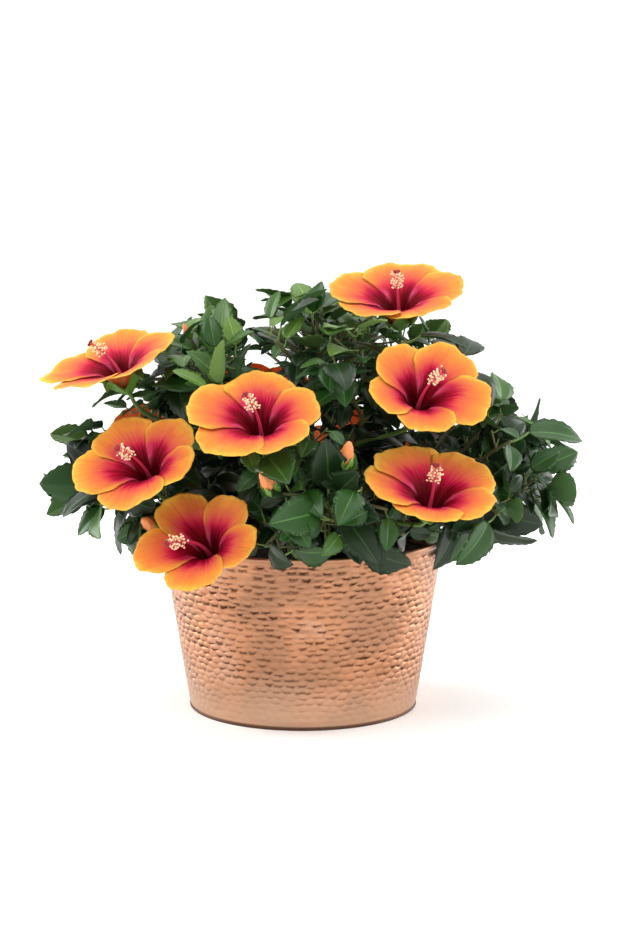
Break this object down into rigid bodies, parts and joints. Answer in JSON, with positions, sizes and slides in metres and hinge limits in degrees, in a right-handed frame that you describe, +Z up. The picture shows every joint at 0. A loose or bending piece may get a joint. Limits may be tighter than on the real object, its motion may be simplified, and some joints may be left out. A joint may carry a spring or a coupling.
{
  "type": "potted flowering shrub",
  "caption": "Hibiscus shrub in flower with orange and crimson blooms, growing in a round tapered planter of hammered copper.",
  "frame": {"origin": "middle of the planter's flat underside", "axes": "+Z up, -Y to the front that the picture shows, +X to its right"},
  "size_m": [0.4891, 0.4377, 0.4075],
  "materials": {
    "copper": "hammered copper, satin",
    "soil": "rough and dark",
    "bark": "grey-green bark",
    "foliage": "dark green, slightly glossy",
    "petals": "soft, orange with a crimson throat"
  },
  "bodies": {
    "root": {"planter": "copper", "potting_soil": "soil", "trunk": "bark", "bough_low_1": "bark", "leaves_low_1": "foliage", "bough_low_2": "bark", "leaves_low_2": "foliage", "bough_low_3": "bark", "leaves_low_3": "foliage", "bough_low_4": "bark", "leaves_low_4": "foliage", "bough_low_5": "bark", "leaves_low_5": "foliage", "bough_high_1": "bark", "leaves_high_1": "foliage", "bough_high_2": "bark", "leaves_high_2": "foliage", "bough_high_3": "bark", "leaves_high_3": "foliage", "bough_top": "bark", "leaves_top": "foliage", "bloom_1": "petals", "bloom_2": "petals", "bloom_3": "petals", "bloom_4": "petals", "bloom_5": "petals", "bloom_6": "petals", "bloom_7": "petals", "bloom_8": "petals", "bloom_9": "petals", "bloom_10": "petals", "bloom_11": "petals"}
  },
  "joints": []
}
